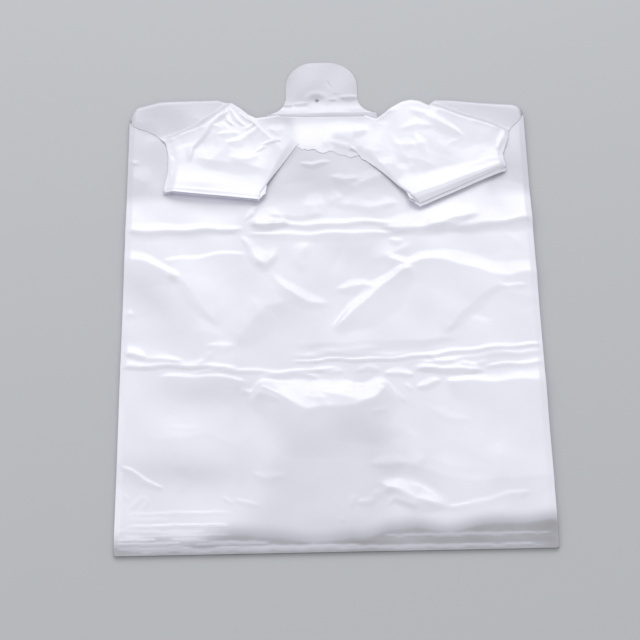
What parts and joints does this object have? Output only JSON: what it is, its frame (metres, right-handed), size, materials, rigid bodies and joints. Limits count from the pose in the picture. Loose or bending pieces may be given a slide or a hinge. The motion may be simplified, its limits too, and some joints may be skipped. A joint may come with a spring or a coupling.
{
  "type": "plastic carrier bag",
  "caption": "Flat gusseted vest-style film carrier bag with welded hem, die-cut handles folded down over the front and a round-topped hanging tab.",
  "frame": {"origin": "middle of the bag's outline, on the surface that it lies on", "axes": "+Y up the bag from hem to tab, +X across the bag to the right seen from its front, +Z out of the front"},
  "size_m": [0.3, 0.387, 0.0099],
  "materials": {
    "film": "thin glossy translucent white film"
  },
  "bodies": {
    "root": {"carrier_bag": "film"}
  },
  "joints": []
}
